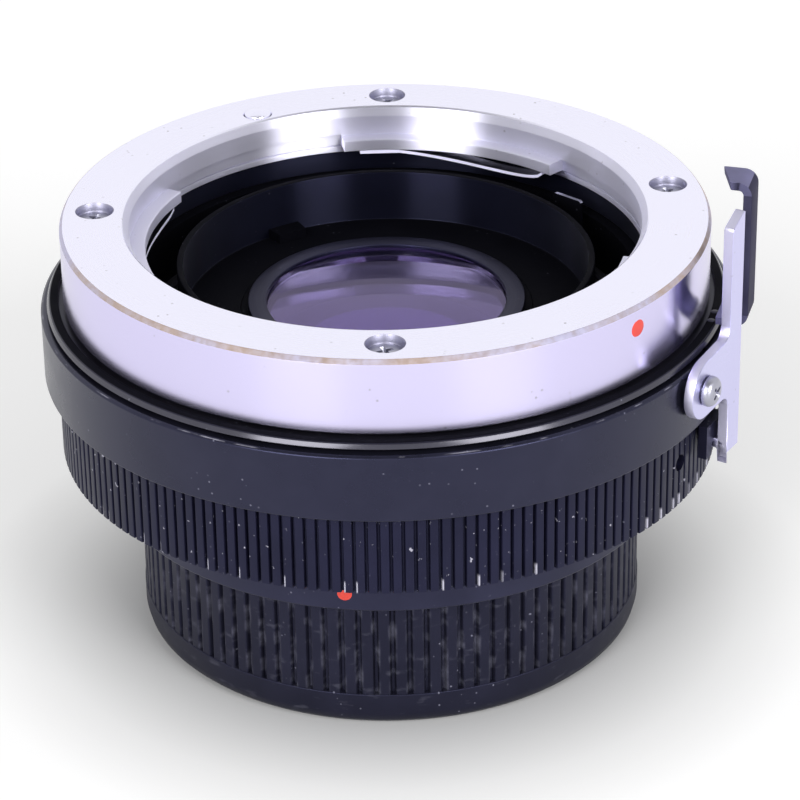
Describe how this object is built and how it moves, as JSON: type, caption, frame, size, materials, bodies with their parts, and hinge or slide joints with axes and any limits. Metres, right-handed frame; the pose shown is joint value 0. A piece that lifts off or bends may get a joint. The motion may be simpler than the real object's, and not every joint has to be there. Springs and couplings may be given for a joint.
{
  "type": "camera teleconverter",
  "caption": "Round teleconverter with a chrome front lens mount, side coupling hook and release lever, ribbed grip ring, inner lenses and a ribbed rear cap.",
  "frame": {"origin": "optical axis at the resting face of the rear cap", "axes": "+Z along the optical axis towards the attached lens, -Y towards the side seen in the picture, +X to its right"},
  "size_m": [0.0656, 0.0644, 0.048],
  "materials": {
    "black_anodised": "satin black anodised aluminium",
    "black_gloss": "gloss black paint",
    "chrome_mount": "fine-turned chrome on brass",
    "steel": "bright nickel-plated steel",
    "dark_steel": "blackened steel",
    "grey_metal": "grey anodised",
    "spring_steel": "bright spring steel",
    "brass": "plain machined brass",
    "red_paint": "filled red index paint",
    "coated_glass": "single-coated optical glass, purple reflex",
    "black_plastic": "moulded black plastic, dusty"
  },
  "bodies": {
    "housing": {"barrel": "black_anodised", "name_ring": "black_anodised", "grip_ring": "black_anodised", "grub_screws": "dark_steel", "front_mount": "chrome_mount", "front_screws": "steel", "bayonet_springs": "spring_steel", "front_index": "red_paint", "rear_collar": "black_anodised", "rear_mount": "chrome_mount", "rear_screws": "steel", "rear_index": "red_paint", "light_baffle": "black_anodised", "optic_cell": "black_anodised", "cell_lock_ring": "black_anodised", "front_retainer": "grey_metal", "front_lens": "coated_glass", "lens_spacer_a": "black_anodised", "pair_lens_a": "coated_glass", "pair_lens_b": "coated_glass", "lens_spacer_b": "black_anodised", "rear_lens": "coated_glass", "release_screw": "steel", "spring_anchor": "brass", "snap_ring": "dark_steel", "lock_pin_spring": "spring_steel", "diaphragm_spring": "spring_steel"},
    "coupling": {"coupling_ring": "black_gloss", "hook_lever": "black_anodised", "coupling_rivets": "black_gloss", "coupling_link": "brass"},
    "release": {"release_lever": "steel"},
    "lock": {"lock_arc": "black_anodised"},
    "pin": {"lock_pin": "steel"},
    "diaphragm": {"diaphragm_ring": "dark_steel", "diaphragm_pusher": "steel", "diaphragm_tail": "steel"},
    "cap": {"rear_cap": "black_plastic"}
  },
  "joints": [
    {"name": "aperture_coupling", "type": "hinge", "parent": "housing", "child": "coupling", "pos_m": [0, 0, 0.0334], "axis": [0, 0, 1], "range_deg": [0, 60]},
    {"name": "lens_release", "type": "hinge", "parent": "housing", "child": "release", "pos_m": [0.0279, -0.01743, 0.031], "axis": [0.848, -0.5299, 0], "range_deg": [0, 8], "stiffness_Nm_per_rad": 0.03, "springref_deg": -11.46},
    {"name": "lock_turn", "type": "hinge", "parent": "housing", "child": "lock", "pos_m": [0, 0, 0.0244], "axis": [0, 0, 1], "range_deg": [0, 2.3]},
    {"name": "lock_pin_slide", "type": "slide", "parent": "housing", "child": "pin", "axis": [0, 0, -1], "range_m": [0, 0.00116], "deforming": ["lock_pin_spring"]},
    {"name": "diaphragm_turn", "type": "hinge", "parent": "housing", "child": "diaphragm", "pos_m": [0, 0, 0.0279], "axis": [0, 0, 1], "range_deg": [0, 25], "stiffness_Nm_per_rad": 0.02, "springref_deg": -17.19, "deforming": ["diaphragm_spring"]},
    {"name": "cap_twist", "type": "hinge", "parent": "housing", "child": "cap", "pos_m": [0, 0, 0.006], "axis": [0, 0, 1], "range_deg": [0, 60]}
  ],
  "couplings": [
    {"joint": "lock_turn", "follows": "lens_release", "ratio": 0.285},
    {"joint": "lock_pin_slide", "follows": "lens_release", "m_per_rad": 0.0082363}
  ]
}
